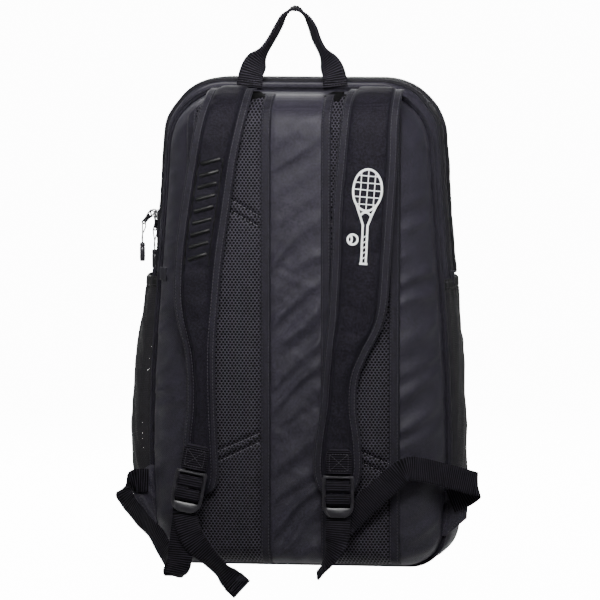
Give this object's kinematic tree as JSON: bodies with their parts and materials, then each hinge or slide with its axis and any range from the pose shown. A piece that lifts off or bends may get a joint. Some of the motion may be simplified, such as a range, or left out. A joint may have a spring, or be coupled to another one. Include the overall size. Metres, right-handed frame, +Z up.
{
  "type": "racket backpack",
  "caption": "Soft racket backpack with padded shoulder straps, ladder locks, air-mesh back panel, haul loop, mesh side pockets and a front lid that unzips",
  "frame": {"origin": "Under the top of the haul loop's arch, where a hook carries the bag; the bag's base is 0.580 m below it and its middle plane 10 mm to the +X side.", "axes": "+Z up. -Y faces the wearer's back: shoulder straps and back panel. +Y is the front of the bag with the lid. +X is the right-hand side as seen from the wearer's side."},
  "size_m": [0.3912, 0.2354, 0.6081],
  "materials": {
    "shell_fabric": "plain-weave coated polyester, soft sheen",
    "strap_fabric": "fine matte weave over foam",
    "air_mesh": "spacer mesh with rounded holes",
    "webbing": "ribbed polyester webbing",
    "pocket_mesh": "open stretch net",
    "lining": "plain lining over foam",
    "foam_board": "extruded sheet, matt",
    "buckle_plastic": "moulded acetal, satin",
    "zip_tape": "woven tape with a nylon coil",
    "slider_metal": "plated zinc, bright",
    "pull_cord": "thin braided cord",
    "print_white": "printed line drawing",
    "raised_print": "raised rubber print, satin"
  },
  "bodies": {
    "root": {"back_shell": "shell_fabric", "front_shell": "shell_fabric", "center_panel": "shell_fabric", "mesh_column_left": "air_mesh", "mesh_column_right": "air_mesh", "seam_piping": "zip_tape", "frame_sheet": "foam_board", "racket_divider": "lining", "divider_elastic": "webbing", "racket_zip": "zip_tape", "main_zip_rear": "zip_tape", "front_pocket": "shell_fabric", "pocket_zip": "zip_tape", "side_pocket_left": "pocket_mesh", "side_pocket_right": "pocket_mesh", "pocket_hem_left": "webbing", "pocket_hem_right": "webbing", "wing_left": "shell_fabric", "wing_right": "shell_fabric", "side_tab": "webbing", "haul_loop": "webbing", "lower_web_left": "webbing", "lower_web_right": "webbing"},
    "front_lid": {"lid_shell": "shell_fabric", "lid_panel": "shell_fabric", "main_zip_front": "zip_tape"},
    "strap_left": {"shoulder_pad_left": "strap_fabric", "buckle_tab_left": "webbing"},
    "strap_right": {"shoulder_pad_right": "strap_fabric", "buckle_tab_right": "webbing"},
    "lock_left": {"ladder_lock_left": "buckle_plastic", "tab_loop_left": "webbing", "web_tail_left": "webbing"},
    "lock_right": {"ladder_lock_right": "buckle_plastic", "tab_loop_right": "webbing", "web_tail_right": "webbing"},
    "racket_runner": {"racket_slider": "slider_metal"},
    "racket_pull_swing": {"racket_pull": "slider_metal", "racket_cord": "pull_cord", "racket_grip": "buckle_plastic"},
    "main_runner": {"main_slider": "slider_metal"},
    "main_pull_swing": {"main_pull": "slider_metal", "main_cord": "pull_cord", "main_grip": "buckle_plastic"},
    "pocket_runner": {"pocket_slider": "slider_metal"},
    "pocket_pull_swing": {"pocket_pull": "slider_metal", "pocket_cord": "pull_cord", "pocket_grip": "buckle_plastic"}
  },
  "joints": [
    {"name": "lid_hinge", "type": "hinge", "parent": "root", "child": "front_lid", "pos_m": [0.01, 0.092, -0.278], "axis": [-1, 0, 0], "range_deg": [0, 70]},
    {"name": "strap_left_swing", "type": "hinge", "parent": "root", "child": "strap_left", "pos_m": [-0.056, -0.04, -0.0805], "axis": [-1, 0, 0], "range_deg": [0, 25]},
    {"name": "strap_right_swing", "type": "hinge", "parent": "root", "child": "strap_right", "pos_m": [0.094, -0.04, -0.0805], "axis": [-1, 0, 0], "range_deg": [0, 18]},
    {"name": "lock_left_lift", "type": "hinge", "parent": "strap_left", "child": "lock_left", "pos_m": [-0.091, -0.119, -0.475], "axis": [-0.9833, 0, 0.1822], "range_deg": [0, 40]},
    {"name": "lock_right_lift", "type": "hinge", "parent": "strap_right", "child": "lock_right", "pos_m": [0.0623, -0.119, -0.4775], "axis": [-1, 0, 0], "range_deg": [0, 40]},
    {"name": "racket_zip_slide", "type": "slide", "parent": "root", "child": "racket_runner", "axis": [0.0735, 0, 0.9973], "range_m": [-0.005, 0.055]},
    {"name": "racket_pull_hinge", "type": "hinge", "parent": "racket_runner", "child": "racket_pull_swing", "pos_m": [-0.15089, -0.006, -0.21349], "axis": [0, 1, 0], "range_deg": [-10, 70]},
    {"name": "main_zip_slide", "type": "slide", "parent": "root", "child": "main_runner", "axis": [0.0735, 0, 0.9973], "range_m": [0, 0.055]},
    {"name": "main_pull_hinge", "type": "hinge", "parent": "main_runner", "child": "main_pull_swing", "pos_m": [-0.15112, 0.034, -0.22049], "axis": [0, 1, 0], "range_deg": [0, 100]},
    {"name": "pocket_zip_slide", "type": "slide", "parent": "root", "child": "pocket_runner", "axis": [-1, 0, 0], "range_m": [-0.02, 0.135]},
    {"name": "pocket_pull_hinge", "type": "hinge", "parent": "pocket_runner", "child": "pocket_pull_swing", "pos_m": [0.072, 0.1082, -0.353], "axis": [1, 0, 0], "range_deg": [-3, 100]}
  ]
}
